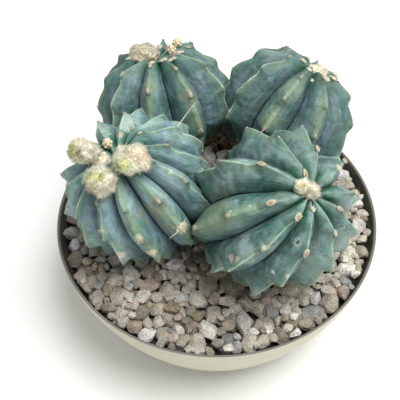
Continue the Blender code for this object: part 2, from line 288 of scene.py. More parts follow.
cream = Finish("cream_plastic", 0.42, CREAM)
scuffs = cream.noise((60, 60, 700), 4)
cream.lay(CREAM_WORN, cream.noise(45, 4), 0.45, 0.75, 0.35)
cream.lay(CREAM_WORN, scuffs, 0.62, 0.75, 0.25)
cream.relief(cream.noise(900, 2), 0.00004)
cream_plastic = cream.done(cream.spread(scuffs, 0.3, 0.8, 0.36, 0.55))

stained = Finish("stained_inside", 0.7, STAINED)
lime = stained.noise((90, 90, 260), 5)
stained.lay(STAIN_PALE, lime, 0.48, 0.72, 0.8)
height = stained.node("SeparateXYZ", {"Vector": stained.here}).outputs["Z"]
stained.lay(LIP_GREY, height, *[BOWL_HEIGHT - below for below in LIP_GREYED])
stained.relief(lime, 0.0002)
finishes = [cream_plastic, stained.done()]
piece("round_bowl", as_mesh(bm, "round_bowl"), finishes, ["bowl"])

# Soil
# Dark potting soil fills the bowl under the gravel. Only its finish is given here, because the gravel
# hides it.
EARTH = (0.045, 0.030, 0.020)
EARTH_DRY = (0.12, 0.085, 0.06)
earth = Finish("potting_soil", 0.95, EARTH)
crumbs = earth.noise(420, 5)
earth.lay(EARTH_DRY, crumbs, 0.4, 0.7)
earth.relief(crumbs, 0.001)
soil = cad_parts["soil"]
soil.data.materials.clear()
soil.data.materials.append(earth.done())

# Barrels
# Four young barrel cacti, grown until they press on each other. Each is a ball of sharp ribs with deep
# furrows, whose crests climb in slow teeth to their areoles. A sphere's columns follow the ribs and its
# rows run down from the crown to the corky foot.
COLUMNS = 24                # from one crest to the next
BODY_ROWS = 160
STEM_ROWS = 4
END = 156.0                 # where the ribs end, in degrees down from the crown
TOOTH_RISE = 0.70           # the share of the spacing in which it climbs
BULGE = 0.0027              # how far a flank swells between crest and furrow
CREST_ROUND = 0.045         # the share of a flank that the rounded crest takes
PLAIN_ROUND = 0.14          # the same on a plain rib
FULL_FROM = 36              # how many degrees down from the crown the furrows are full
FADES_FROM = 112            # where they begin to fade towards the foot
UNEVEN = 0.00035            # how far the skin swells and sinks
STEM_RADIUS = 0.010
STEM_SHOULDER = 0.0587
STEM_FOOT = 0.040
STEM_PSI = 6                # the stem is marked as this much further down, where all is cork
PRESS = 0.0003              # between barrels that grow against each other
# the pit is not modelled; its darkness is painted shade on the skin
PIT_BELOW = 0.0017          # a small dark pit under each areole

# lean is the direction and the angle that the crown tips to, in degrees. radius, top and bottom are the
# crests' reach from the centre, stalk draws the foot out, and crown and depth are those of the dimple and the
# furrows. areole is the spacing down a crest and tooth how far the crest climbs to each. Low down the barrels
# stay narrow where all four meet: dent is its azimuth, its width and the psi where it starts and is full, in
# degrees, and its depth. The ribs in plain have a broad crest without a pale line. Each rib is an azimuth in
# degrees and the distance of its first areole from the crown in millimetres.
BARRELS = {
    "front_right": dict(
        centre=(0.0275, -0.0292, 0.1073), lean=(-39, 36), radius=0.0437, top=0.0456, bottom=0.0354,
        stalk=0.0132, crown=0.0065, depth=0.0125, areole=0.0245, tooth=0.0035,
        plain=(203,), dent=(129, 24, 72, 106, 0.0068),
        ribs=[(14, 2.5), (49, 6), (90, 22.5), (127, 9.5), (163, 6.5), (203, 1), (237, 16.5), (269, 6),
              (306, 21.5), (340, 14.5)]),
    "front_left": dict(
        centre=(-0.0407, -0.0116, 0.1034), lean=(-156, 20), radius=0.0408, top=0.0421, bottom=0.0371,
        stalk=0.0053, crown=0.0095, depth=0.0105, areole=0.022, tooth=0.0034,
        plain=(278, 308), dent=(22, 22, 66, 92, 0.0022),
        ribs=[(25, 16.5), (45, 15.5), (78, 2.5), (117, -4), (149, 2), (180, 17), (206, 7), (226, 20.5),
              (252, 7), (278, 12.5), (308, 18.5), (336, 1.5), (359, 7)]),
    "back_right": dict(
        centre=(0.0404, 0.0520, 0.0979), lean=(37, 38), radius=0.0416, top=0.0379, bottom=0.0293,
        stalk=0.0081, crown=0.0040, depth=0.0120, areole=0.0195, tooth=0.0024,
        plain=(242, 280), dent=(200, 26, 116, 140, 0.0080),
        ribs=[(2, 12), (36, 3), (70, 15), (105, 8), (139, 1), (174, 16.5), (205, 1), (242, 8),
              (280, 18), (327, 6.5)]),
    "back_left": dict(
        centre=(-0.0305, 0.0574, 0.0945), lean=(117, 19), radius=0.0415, top=0.0424, bottom=0.0312,
        stalk=0.0010, crown=0.0066, depth=0.0120, areole=0.020, tooth=0.0023,
        plain=(264, 304), dent=(342, 23, 90, 126, 0.0095),
        ribs=[(7, 19), (47, 10), (84, 3), (120, 14), (157, 6), (194, 15.5), (225, 6.5), (264, 16),
              (304, 4.5), (341, 12)]),
}


def around(turn, radius, height):
    """Points at an angle round the axis, a radius and a height."""
    return np.stack([radius * np.cos(turn), radius * np.sin(turn), height], 1)


class Barrel:
    """A ribbed barrel as a formula.

    theta runs round the axis and psi down from the crown, both in degrees. Each flank is ruled
    from a crest curve to the furrow curve beside it, and the crest climbs to every areole.
    """

    def __init__(self, name, sizes):
        self.name, self.sizes = name, sizes
        self.centre = np.array(sizes["centre"])
        self.ribs = np.array([rib[0] for rib in sizes["ribs"]], float)
        self.first_areole = np.array([rib[1] / 1000 for rib in sizes["ribs"]])
        self.plain = np.isin(self.ribs, sizes["plain"])
        self.reach = (sizes["radius"] + sizes["top"]) / 2
        direction, tip = np.radians(sizes["lean"])
        turn = Matrix.Rotation(direction, 3, "Z")
        self.axes = np.array(turn @ Matrix.Rotation(tip, 3, "Y") @ turn.transposed())

    def meridian(self, psi):
        """Radius and height of a crest line, seen from the barrel's middle."""
        across = np.sin(np.radians(psi))
        along = np.cos(np.radians(psi))
        rho = self.sizes["radius"] * np.abs(across) ** 0.9
        upper = self.sizes["top"] * np.abs(along) ** 0.8
        lower = -self.sizes["bottom"] * np.abs(along) - self.sizes["stalk"] * smooth(FADES_FROM, END, psi)
        dimple = self.sizes["crown"] * np.exp(-(rho / (0.28 * self.sizes["radius"])) ** 2)
        return rho, np.where(along > 0, upper, lower) - dimple

    def outward(self, psi):
        """The crest line's outward normal, as its parts across and along the axis."""
        rho_below, z_below = self.meridian(psi + 0.25)
        rho_above, z_above = self.meridian(np.maximum(psi - 0.25, 0))
        across, along = z_above - z_below, rho_below - rho_above
        length = np.hypot(across, along)
        return across / length, along / length

    def flanks(self, theta):
        """The rib of each theta, its side, its share from crest to furrow, and the ribs' spacing."""
        turned_by = np.mod(theta - self.ribs[0], 360) + self.ribs[0]
        before = np.searchsorted(self.ribs, turned_by, side="right") - 1
        after = (before + 1) % len(self.ribs)
        space = np.mod(self.ribs[after] - self.ribs[before], 360)
        past = turned_by - self.ribs[before]
        nearer = past < space / 2
        share = np.where(nearer, past, space - past) / (space / 2)
        return np.where(nearer, before, after), np.where(nearer, 1.0, -1.0), share, space

    def rounded(self, theta):
        """theta moved off the crest curve, so that the crest is rounded."""
        rib, side, share, space = self.flanks(theta)
        crest_round = np.where(self.plain[rib], PLAIN_ROUND, CREST_ROUND)
        return theta + side * space / 2 * (np.hypot(share, crest_round) - share) * (share < 0.98)

    def dented(self, turn, psi):
        """How far the skin is pressed in at an angle round the axis."""
        azimuth, width, start, full, depth = self.sizes["dent"]
        past = np.mod(np.degrees(turn) - azimuth + 180, 360) - 180
        return depth * np.exp(-(past / width) ** 2) * smooth(start, full, psi)

    def surface(self, theta, psi):
        """Points of the skin, one for each pair of theta and psi."""
        rib, side, share, space = self.flanks(theta)
        rho, height = self.meridian(psi)
        across, along = self.outward(psi)
        grow = smooth(0, FULL_FROM, psi) ** 0.8
        fade = 1 - 0.72 * smooth(FADES_FROM, END, psi)
        wide = np.minimum(space * len(self.ribs) / 360, 1.2) ** 0.7
        deep = self.sizes["depth"] * (0.1 + 0.9 * grow) * fade * wide

        # the tooth climbs slowly to its areole and drops quickly below it
        walked = self.reach * np.radians(psi)
        place = np.mod((walked - self.first_areole[rib]) / self.sizes["areole"] + TOOTH_RISE, 1)
        climb = np.where(place < TOOTH_RISE, place / TOOTH_RISE, (1 - place) / (1 - TOOTH_RISE))
        tooth = 0.5 * (climb - 0.45) + 0.5 * (0.05 - 0.5 * np.cos(np.pi * climb))
        taller = self.sizes["tooth"] * (1 + 0.35 * smooth(55, 95, psi))
        lift = taller * tooth * grow * fade * np.exp(-(share / 0.29) ** 2)
        swell = BULGE * grow * fade * (1 + 0.2 * tooth) * np.sin(np.pi * share ** 1.8)

        crest_turn = np.radians(self.ribs[rib])
        furrow_turn = crest_turn + side * np.radians(space / 2)
        flank_turn = crest_turn + side * np.radians(space / 2) * 0.55
        low = self.dented(crest_turn, psi)
        deep = deep + self.dented(furrow_turn, psi)
        crest = around(crest_turn, np.maximum(rho - across * low, 0), height - along * low)
        furrow = around(furrow_turn, np.maximum(rho - across * deep, 0), height - along * deep)
        points = crest * (1 - share)[:, None] + furrow * share[:, None]
        points += around(flank_turn, across, along) * swell[:, None]
        points += around(crest_turn, across, along) * lift[:, None]
        return points @ self.axes.T + self.centre

    def seat(self, theta, psi):
        """The place on a point of the skin. Its X points down the rib and its Z up from the skin."""
        both_sides = self.rounded(np.array([theta - 0.01, theta + 0.01] * 2))
        point, below = self.surface(both_sides, np.repeat([psi, psi + 1.5], 2)).reshape(2, 2, 3).mean(1)
        across, along = self.outward(np.array([float(psi)]))
        up = Vector(self.axes @ around(np.radians([float(theta)]), across, along)[0]).normalized()
        down = Vector(below - point)
        down = (down - up * down.dot(up)).normalized()
        return Matrix.Translation(point) @ Matrix((down, up.cross(down), up)).transposed().to_4x4()

    def foot(self):
        """The point under the end of the ribs, where the stem goes into the gravel."""
        end = np.array([0, 0, self.meridian(np.array([END]))[1][0]])
        return Vector(self.axes @ end + self.centre)


def barrel_mesh(barrel):
    """The barrel's closed mesh, and where each point lies on it.

    Its marks are the share from crest to furrow, psi, whether the rib is plain, the flow down the ribs and
    the way to the nearest pit under an areole, where shade is painted. The last two are in millimetres.
    """
    columns = len(barrel.ribs) * COLUMNS
    rows = BODY_ROWS + STEM_ROWS
    bm = bmesh.new()
    bmesh.ops.create_uvsphere(bm, u_segments=columns, v_segments=rows, radius=1)
    ball = np.array([vert.co for vert in bm.verts])
    column = np.round(np.arctan2(ball[:, 1], ball[:, 0]) / math.tau * columns).astype(int) % columns
    row = np.round(np.arccos(np.clip(ball[:, 2], -1, 1)) / math.pi * rows).astype(int)
    rib, step = np.divmod(column, COLUMNS)
    space = np.mod(np.roll(barrel.ribs, -1)[rib] - barrel.ribs[rib], 360)

    # columns lie closer at crests and furrows
    quarter = step / COLUMNS * 2 % 1
    eased = (0.5 - 0.5 * np.cos(np.pi * quarter)) * 0.6 + quarter * 0.4
    theta = barrel.ribs[rib] + space * ((step * 2 // COLUMNS) + eased) / 2
    psi = END * np.minimum(row, BODY_ROWS) / BODY_ROWS
    flank = barrel.flanks(theta)
    points = barrel.surface(barrel.rounded(theta), psi)

    foot = barrel.foot()
    for vert, point, angle, level in zip(bm.verts, points, np.radians(theta), row):
        spot = Vector(point)
        if level <= BODY_ROWS:
            swell = noise.noise(spot * 110) + 0.5 * noise.noise(spot * 260)
            vert.co = spot + (spot - Vector(barrel.centre)).normalized() * UNEVEN * swell
        elif level == rows:
            vert.co = (foot.x, foot.y, STEM_FOOT)
        else:
            below = (level - BODY_ROWS - 1) / (STEM_ROWS - 2)
            height = STEM_SHOULDER + (STEM_FOOT - STEM_SHOULDER) * below
            vert.co = (foot.x + STEM_RADIUS * math.cos(angle), foot.y + STEM_RADIUS * math.sin(angle), height)
    placed = np.array([vert.co for vert in bm.verts])
    walked = barrel.reach * np.radians(psi)
    flow = around(np.radians(theta), np.full(len(theta), barrel.sizes["radius"]), walked)
    spacing = barrel.sizes["areole"]
    below = walked - barrel.first_areole[flank[0]] - PIT_BELOW
    from_pit = np.abs(np.mod(below / spacing + 0.5, 1) - 0.5) * spacing
    marks = {"share": flank[2], "psi": psi + STEM_PSI * (row > BODY_ROWS), "flow": flow * 1000,
             "from_pit": from_pit * 1000, "plain": barrel.plain[flank[0]].astype(float)}
    return as_mesh(bm, barrel.name), placed, marks


def cut_by(mesh, cutter, solver, swell=0.0):
    """The mesh less the form of a cutter, which may swell a little first."""
    whole, other = new_object("whole", mesh), new_object("other", cutter)
    if swell:
        swollen = other.modifiers.new("Swell", "DISPLACE")
        swollen.strength, swollen.mid_level = swell, 0
    cut = whole.modifiers.new("Cut", "BOOLEAN")
    cut.operation, cut.solver, cut.object = "DIFFERENCE", solver, other
    depsgraph = bpy.context.evaluated_depsgraph_get()
    depsgraph.update()
    made = bpy.data.meshes.new_from_object(whole.evaluated_get(depsgraph))
    for obj in (whole, other):
        bpy.data.objects.remove(obj)
    return made


def without_scraps(mesh):
    """Keeps what hangs together with the foot, and drops the loose scraps that a cut leaves."""
    bm = bmesh.new()
    bm.from_mesh(mesh)
    bmesh.ops.remove_doubles(bm, verts=bm.verts, dist=0.000002)
    front = [min(bm.verts, key=lambda vert: vert.co.z)]
    body = set(front)
    while front:
        beside = {vert for edge in front.pop().link_edges for vert in edge.verts} - body
        body |= beside
        front += beside
    bmesh.ops.delete(bm, geom=[vert for vert in bm.verts if vert not in body], context="VERTS")
    for face in bm.faces:
        face.material_index = 0
    bm.to_mesh(mesh)
    bm.free()
    mesh.materials.clear()


def mark_skin(mesh, placed, marks):
    """Gives each point of a settled mesh the marks of the nearest point of the whole barrel."""
    tree = KDTree(len(placed))
    for number, point in enumerate(placed):
        tree.insert(point, number)
    tree.balance()
    nearest = [tree.find(vert.co)[1] for vert in mesh.vertices]
    for name, values in marks.items():
        if name in mesh.attributes:
            mesh.attributes.remove(mesh.attributes[name])
        kind, field = ("FLOAT_VECTOR", "vector") if values.ndim == 2 else ("FLOAT", "value")
        made = mesh.attributes.new(name, kind, "POINT")
        made.data.foreach_set(field, values[nearest].astype(np.float32).ravel())


# The skin is waxy blue-green. Its crests have a thin pale line over a band of olive, its furrows are dark
# lines of painted shade, and fine streaks run down the flanks under specks and scratches.
SKIN_BLUE = (0.142, 0.228, 0.272)
SKIN_TEAL = (0.060, 0.150, 0.132)
SKIN_PALE = (0.290, 0.400, 0.370)
SKIN_OLIVE = (0.155, 0.238, 0.150)
SKIN_DEEP = (0.014, 0.090, 0.042)
# painted shade: the near-black line at the bottom of each furrow
FURROW_SHADE = (0.004, 0.018, 0.018)
CREST_GREY = (0.330, 0.460, 0.380)
CREST_PALE = (0.64, 0.71, 0.61)
CHALK = (0.60, 0.64, 0.56)
SCAB = (0.27, 0.20, 0.15)
# painted shade in the small pit under each areole
PIT_SHADE = (0.020, 0.050, 0.030)
CORK = (0.25, 0.19, 0.12)
# How blue, how pale, how speckled and how scabbed each barrel's skin is and how strongly shade and light are
# painted on its creases, from 0 to 1, and how light it is
TEMPERS = {"front_right": (0.25, 0.65, 0.6, 0.3, 0.8, 1.03), "front_left": (0.80, 0.55, 0.3, 1.0, 0.25, 1.27),
           "back_right": (0.50, 0.35, 0.4, 0.3, 0.5, 0.80), "back_left": (0.55, 0.30, 0.3, 0.4, 0.4, 0.89)}
# Patches on each barrel's skin: azimuth and psi, the radius in millimetres, the colour and how much it covers
PATCHES = {
    "front_right": [
        (335, 60, 19, (0.33, 0.45, 0.4), 0.6), (300, 66, 16, (0.31, 0.42, 0.35), 0.5),
        (14, 48, 14, (0.34, 0.46, 0.43), 0.6), (90, 60, 14, (0.29, 0.39, 0.32), 0.45),
        (199, 80, 12.5, (0.19, 0.26, 0.14), 0.6), (204, 64, 7.5, (0.2, 0.29, 0.18), 0.45),
        (202, 61, 1.1, (0.6, 0.61, 0.46), 0.8), (200, 47, 0.9, (0.55, 0.55, 0.4), 0.7),
        (238, 51, 2.4, (0.62, 0.64, 0.52), 0.85), (268, 62, 1.8, (0.6, 0.66, 0.56), 0.85),
        (260, 69, 1.3, (0.5, 0.56, 0.48), 0.8), (226, 68, 4, (0.3, 0.4, 0.43), 0.5),
        (233, 62, 2.4, (0.34, 0.44, 0.45), 0.5), (260, 35, 2.4, (0.36, 0.42, 0.37), 0.7),
        (260, 35, 1.3, (0.05, 0.075, 0.07), 1), (231, 81, 2.4, (0.46, 0.38, 0.3), 0.8),
        (233, 76, 1.8, (0.5, 0.46, 0.36), 0.7)],
    "front_left": [
        (340, 45, 12, (0.27, 0.37, 0.39), 0.3), (82, 33, 10, (0.41, 0.53, 0.46), 0.65),
        (70, 27, 7, (0.4, 0.52, 0.45), 0.5), (117, 30, 8, (0.4, 0.52, 0.45), 0.65),
        (48, 38, 9, (0.37, 0.49, 0.43), 0.5), (78, 14, 2, (0.6, 0.45, 0.37), 0.9),
        (297, 62, 7.5, (0.235, 0.235, 0.15), 0.6), (300, 84, 7, (0.235, 0.235, 0.15), 0.5),
        (308, 60, 5, (0.23, 0.225, 0.165), 0.5), (253, 90, 4.4, (0.76, 0.66, 0.5), 0.95),
        (252, 63, 1.5, (0.6, 0.6, 0.48), 0.8), (278, 74, 2.4, (0.64, 0.62, 0.48), 0.9),
        (336, 49, 1.8, (0.62, 0.68, 0.5), 0.85), (308, 54, 1.2, (0.46, 0.33, 0.24), 0.7),
        (336, 63, 1.6, (0.56, 0.46, 0.36), 0.8), (278, 95, 3.2, (0.72, 0.62, 0.44), 0.95),
        (308, 84, 3.6, (0.62, 0.64, 0.5), 0.85)],
    "back_right": [
        (242, 50, 9, (0.26, 0.33, 0.23), 0.5), (242, 88, 5.5, (0.27, 0.35, 0.19), 0.55),
        (280, 53, 6.5, (0.24, 0.31, 0.22), 0.5), (240, 66, 2, (0.06, 0.1, 0.07), 0.5)],
    "back_left": [
        (264, 44, 7, (0.26, 0.31, 0.21), 0.6), (264, 80, 5, (0.24, 0.25, 0.17), 0.6),
        (302, 63, 6, (0.25, 0.25, 0.175), 0.6), (304, 85, 6, (0.24, 0.24, 0.17), 0.5)],
}


def skin_of(barrel):
    blueness, paleness, speckles, scabs, crease_shading, lightness = TEMPERS[barrel.name]
    skin = Finish("skin_" + barrel.name, 0.55, SKIN_TEAL)
    spread, times = skin.spread, skin.times
    share = skin.attribute("share")
    psi = skin.attribute("psi")
    flow = skin.attribute("flow", "Vector")
    clouds = skin.noise(55)
    mottle = skin.noise(300, 4)
    streaks = skin.noise((1.1, 1.1, 0.07), 4, 0.15, flow)
    fine_streaks = skin.noise((3.2, 3.2, 0.20), 3, 0.1, flow)
    broad = skin.noise((0.22, 0.22, 0.06), at=flow)
    creases = skin.noise(150, 2, 0.5)
    tatters = skin.noise(950)

    # slate blue towards the furrow and teal above it
    bluer = skin.sum(broad, times(share, 0.25))
    skin.lay(SKIN_BLUE, bluer, 0.78 - 0.3 * blueness, 0.98 - 0.3 * blueness)
    skin.lay(SKIN_PALE, clouds, 0.40, 0.66, paleness)
    skin.lay(SKIN_PALE, streaks, 0.50, 0.72, 0.20)
    skin.lay(SKIN_PALE, fine_streaks, 0.54, 0.72, 0.16)
    skin.shade(spread(streaks, 0.30, 0.52), 0.80, 1.0)
    skin.shade(spread(fine_streaks, 0.28, 0.50), 0.88, 1.0)
    # painted shade and light: each flank is darker towards its furrow and lighter towards its crest
    skin.shade(share, 1.12, 0.82)

    # the olive band beside the crest wavers, is flecked with scabs, and fades towards the crown
    wavering = skin.sum(share, times(skin.sum(broad, mottle, -1.0), 0.55))
    plain = skin.attribute("plain")
    width = spread(plain, 0, 1, 0.30, 0.55)
    band = times(spread(wavering, width, 0.02), spread(psi, 10, 45, 0.3, 0.8))
    skin.coat(band, SKIN_OLIVE)
    flecks = times(spread(tatters, 0.56, 0.68), spread(band, 0.1, 0.6, 0, scabs * 0.8))
    skin.coat(times(flecks, spread(psi, 40, 62)), SCAB)

    # the furrows are dark lines of painted shade, and deep green round the crown
    skin.lay(FURROW_SHADE, share, 0.945, 0.992, 0.9)
    skin.coat(times(spread(psi, 34, 8, 0, 0.9), spread(share, 0.10, 0.75)), SKIN_DEEP)
    skin.shade(mottle, 0.66 * lightness, 1.34 * lightness)
    # painted shade in the hollows of the creases' relief, and painted light on their ridges
    skin.shade(spread(creases, 0.32, 0.66), 1 - 0.2 * crease_shading, 1 + 0.2 * crease_shading)

    uneven = skin.sum(mottle, tatters, -1.0)
    for theta, down, radius, tint, cover in PATCHES[barrel.name]:
        skin.spot(barrel.seat(theta, down).translation, radius / 1000, 1.08, 0.55, uneven, tint, cover)

    # the crest is a thin grey-green line that turns pale lower down, with painted shade in a small pit under
    # each areole
    edge = skin.sum(share, times(skin.sum(mottle, -0.5), 0.10))
    corky = times(spread(clouds, 0.44, 0.60), spread(psi, 45, 80))
    cover = times(spread(psi, 8, 45, 0.20, 0.85), spread(plain, 0, 1, 1.0, 0.12))
    fringe = times(spread(edge, 0.20, 0.03), spread(clouds, 0.40, 0.62), cover, 0.32)
    skin.coat(fringe, CREST_GREY)
    skin.coat(times(spread(edge, 0.050, 0.008), cover), skin.mix(corky, CREST_GREY, CREST_PALE))
    # painted shade where the skin dips into the pit under each areole
    pit = times(spread(skin.attribute("from_pit"), 1.3, 0.5), spread(share, 0.17, 0.07))
    skin.coat(times(pit, 0.55), PIT_SHADE)

    # chalky specks and scratches, and the corky foot
    specks = spread(skin.cells(520), 0.18, 0.06)
    where = spread(clouds, 0.62 - 0.2 * speckles, 0.80 - 0.2 * speckles)
    skin.coat(times(specks, where, speckles), CHALK)
    scratches = skin.noise((260, 1500, 500), 2, 0.6)
    skin.lay(CHALK, scratches, 0.66, 0.76, 0.50 * speckles)
    skin.lay(CORK, psi, 146, 158)

    height = skin.sum(times(streaks, 0.4), times(mottle, 0.6), times(creases, 2.6))
    skin.relief(height, 0.00045)
    return skin.done(spread(mottle, 0.3, 0.7, 0.48, 0.66))


barrels = {name: Barrel(name, sizes) for name, sizes in BARRELS.items()}
grown = []
for barrel in barrels.values():
    mesh, placed, marks = barrel_mesh(barrel)
    for neighbour in grown:
        mesh = cut_by(mesh, neighbour, "MANIFOLD", PRESS)
    without_scraps(mesh)
    mark_skin(mesh, placed, marks)
    grown.append(mesh)
    piece("barrel_" + barrel.name, mesh, [skin_of(barrel)], ["cactus_" + barrel.name],
          sharp=60)

# Gravel
# A top dressing of crushed pumice, a few millimetres to a centimetre and a half long, poured round the
# barrels over a bed of grit. The stones are dropped one by one, and each comes to rest on those below it.
BED_TOP = 0.0560
BED_BOTTOM = 0.0523
BED_RINGS = 90
BED_STEPS = 200
SOCKET_DEPTH = 0.05
GRIT_RELIEF = 0.0011
# the grit's colours are partly its own and partly painted shade, so that the gaps between the stones look
# dark
GRIT_AND_SHADE = (0.045, 0.036, 0.027)
GRIT_PALE_AND_SHADE = (0.16, 0.135, 0.105)
# painted shade in the pumice's pores
PORE_SHADE = (0.085, 0.066, 0.050)
STONE_ROOM = 0.0664         # no stone reaches higher
STONE_GAP = 0.0008          # under and beside a barrel
STONE_SINK = 0.34           # how deep a stone sinks between others, as a share of its half height
STONE_TIP = 0.2             # how far it may tip either way, in radians
WALL_GAP = 0.0004
SIEVES = [                  # the half length from and to, and how many are poured
    (0.0060, 0.0080, 140), (0.0047, 0.0060, 280), (0.0032, 0.0047, 420), (0.0019, 0.0032, 500)]
KNOBBLY_FROM = 0.0060       # larger stones have a knobbly skin
BROKEN_SIDES = 9
SPOTS_TRIED = 48            # for a stone, at most
SPOTS_FREE = 8              # as soon as so many are free, the lowest of them is taken
CELL = 0.0006               # of the grid that the heap's height is kept in
PUMICES = [                 # the colour and how often it comes
    ((0.36, 0.325, 0.260), 30), ((0.44, 0.405, 0.340), 26), ((0.27, 0.235, 0.180), 18),
    ((0.52, 0.495, 0.440), 12), ((0.40, 0.325, 0.260), 12), ((0.27, 0.265, 0.245), 7),
    ((0.58, 0.570, 0.540), 3), ((0.29, 0.230, 0.155), 3)]
LITTER_AT = (0.0010, 0.0680)   # reddish litter lies between the four barrels
LITTER_REACH = 0.020
LITTER = (0.42, 0.28, 0.22)
WHITE = (0.66, 0.65, 0.63)
WHITE_SPOTS = [             # the stone nearest to each of these is white
    (-0.0242, -0.0341, 0.0633), (-0.0829, -0.0208, 0.0633), (0.0779, 0.0351, 0.0629),
    (0.0549, -0.0564, 0.0642), (0.0053, 0.0509, 0.0632)]
rng = random.Random(11)


def scatter():
    """A way to any side, of no set length."""
    return Vector((rng.gauss(0, 1), rng.gauss(0, 1), rng.gauss(0, 1)))


def stone_shape(knobbly):
    """A crushed stone is a lump whose sides are broken off flat."""
    bm = bmesh.new()
    bmesh.ops.create_icosphere(bm, subdivisions=1, radius=1.12)
    for _ in range(BROKEN_SIDES):
        way = scatter().normalized()
        whole = bm.verts[:] + bm.edges[:] + bm.faces[:]
        broken = bmesh.ops.bisect_plane(bm, geom=whole, plane_co=way * rng.uniform(0.58, 0.90),
                                        plane_no=way, clear_outer=True)
        rim = [part for part in broken["geom_cut"] if isinstance(part, bmesh.types.BMEdge)]
        bmesh.ops.contextual_create(bm, geom=rim)
    bmesh.ops.remove_doubles(bm, verts=bm.verts, dist=0.16)
    bmesh.ops.triangulate(bm, faces=bm.faces)
    if knobbly:
        bmesh.ops.subdivide_edges(bm, edges=bm.edges, cuts=1, use_grid_fill=True)
    shift = Vector((rng.uniform(0, 50), rng.uniform(0, 50), 0))
    rough = 0.12 if knobbly else 0.0
    for vert in bm.verts:
        vert.co *= 1.2 + 0.20 * noise.noise(vert.co * 1.6 + shift) + rough * noise.noise(vert.co * 4 + shift)
    bmesh.ops.recalc_face_normals(bm, faces=bm.faces)
    return as_mesh(bm, "stone")


def strewn(name, shapes, places):
    """One mesh of many copies. A place is a shape's number, a matrix and the copy's colour."""
    bm = bmesh.new()
    tint_of = bm.verts.layers.float_color.new("tint")
    for number, place, tint in places:
        before = len(bm.verts)
        bm.from_mesh(shapes[number])
        bm.verts.ensure_lookup_table()
        for vert in bm.verts[before:]:
            vert.co = place @ vert.co
            vert[tint_of] = (*tint, 1)
    return as_mesh(bm, name)


bed_radius = inner_radius(BED_TOP)
profile = [(0, BED_BOTTOM), (bed_radius * 0.5, BED_BOTTOM), (bed_radius * 0.995, BED_BOTTOM)]
profile += [(bed_radius * share, BED_TOP) for share in np.linspace(0.998, 0.01, BED_RINGS)]
bm = spun(profile + [(0, BED_TOP)], BED_STEPS)
for vert in bm.verts:
    if vert.co.z > BED_BOTTOM + 0.001:
        vert.co.z += GRIT_RELIEF * (noise.noise(vert.co * 420) + 0.6 * noise.noise(vert.co * 900))
bed = as_mesh(bm, "bed")
feet = [barrel.foot() for barrel in barrels.values()]
bm = bmesh.new()
for foot in feet:
    bmesh.ops.create_cone(bm, cap_ends=True, segments=32, radius1=STEM_RADIUS + PRESS,
                          radius2=STEM_RADIUS + PRESS, depth=SOCKET_DEPTH,
                          matrix=Matrix.Translation((foot.x, foot.y, BED_TOP)))
bed = cut_by(bed, as_mesh(bm, "sockets"), "EXACT")

# the bed is dark partly from the grit's own colour and partly from painted shade for the gaps between stones
grit = Finish("grit", 0.95, GRIT_AND_SHADE)
grains = grit.cells(900)
dust = grit.noise(260, 5)
grit.lay(GRIT_PALE_AND_SHADE, dust, 0.35, 0.7)
grit.shade(grains, 0.6, 1.5)
grit.relief(grit.sum(dust, grains), 0.0012)
piece("grit_bed", bed, [grit.done()], ["gravel"])

# the height that the stones have reached, and the lowest that a barrel hangs, over a grid of cells
side = int(2 * RIM_RADIUS / CELL)
cells = (np.arange(side) + 0.5) * CELL - RIM_RADIUS
reached = np.full((side, side), BED_TOP)
ceiling = np.full((side, side), 1.0)
for mesh in grown:
    tree = BVHTree.FromPolygons([vert.co for vert in mesh.vertices],
                                [list(face.vertices) for face in mesh.polygons])
    for i, j in np.ndindex(side, side):
        hit = tree.ray_cast((cells[i], cells[j], BED_BOTTOM), (0, 0, 1))[0]
        if hit:
            ceiling[i, j] = min(ceiling[i, j], hit.z)


def rest_on(x, y, half, yaw):
    """Where a stone comes to rest, the cells that it covers, its top there and whether it is blocked."""
    reach = int(half[0] / CELL) + 1
    i, j = int((x + RIM_RADIUS) / CELL), int((y + RIM_RADIUS) / CELL)
    block = (slice(max(i - reach, 0), i + reach + 1), slice(max(j - reach, 0), j + reach + 1))
    dx, dy = cells[block[0]][:, None] - x, cells[block[1]][None, :] - y
    along = (dx * math.cos(yaw) + dy * math.sin(yaw)) / half[0]
    across = (dy * math.cos(yaw) - dx * math.sin(yaw)) / half[1]
    inside = along ** 2 + across ** 2
    if not (inside < 1).any():
        return 1.0, block, 0, True
    thick = np.where(inside < 1, half[2] * np.sqrt(np.maximum(1 - inside, 0)), -1)
    middle = (reached[block] + thick)[thick > 0].max() - STONE_SINK * half[2]
    top = middle + thick
    blocked = ((thick > 0) & (top + STONE_GAP > ceiling[block])).any() or middle + half[2] > STONE_ROOM
    return middle, block, np.where(thick > 0, top, 0), blocked


def free(x, y, half, middle):
    """Whether a stone at a spot is clear of the wall and of the stems."""
    return (math.hypot(x, y) + half[0] * 0.90 < inner_radius(middle) - WALL_GAP
            and all(math.hypot(x - foot.x, y - foot.y) > STEM_RADIUS + half[0] for foot in feet))


def pumice_tint(x, y):
    colours, weights = zip(*PUMICES)
    base = rng.choices(colours, weights)[0]
    # painted light: stones towards +X, where the lamp stands, are lighter and those towards -X darker; the
    # random part is tone
    light = rng.uniform(0.74, 1.18) * float(np.interp(x, (-0.09, 0.0, 0.09), (0.96, 1.04, 1.28)))
    litter = float(smooth(LITTER_REACH, LITTER_REACH * 0.6, math.hypot(x - LITTER_AT[0], y - LITTER_AT[1])))
    return tuple(light * part * (1 + (red - 1) * litter) for part, red in zip(base, LITTER))


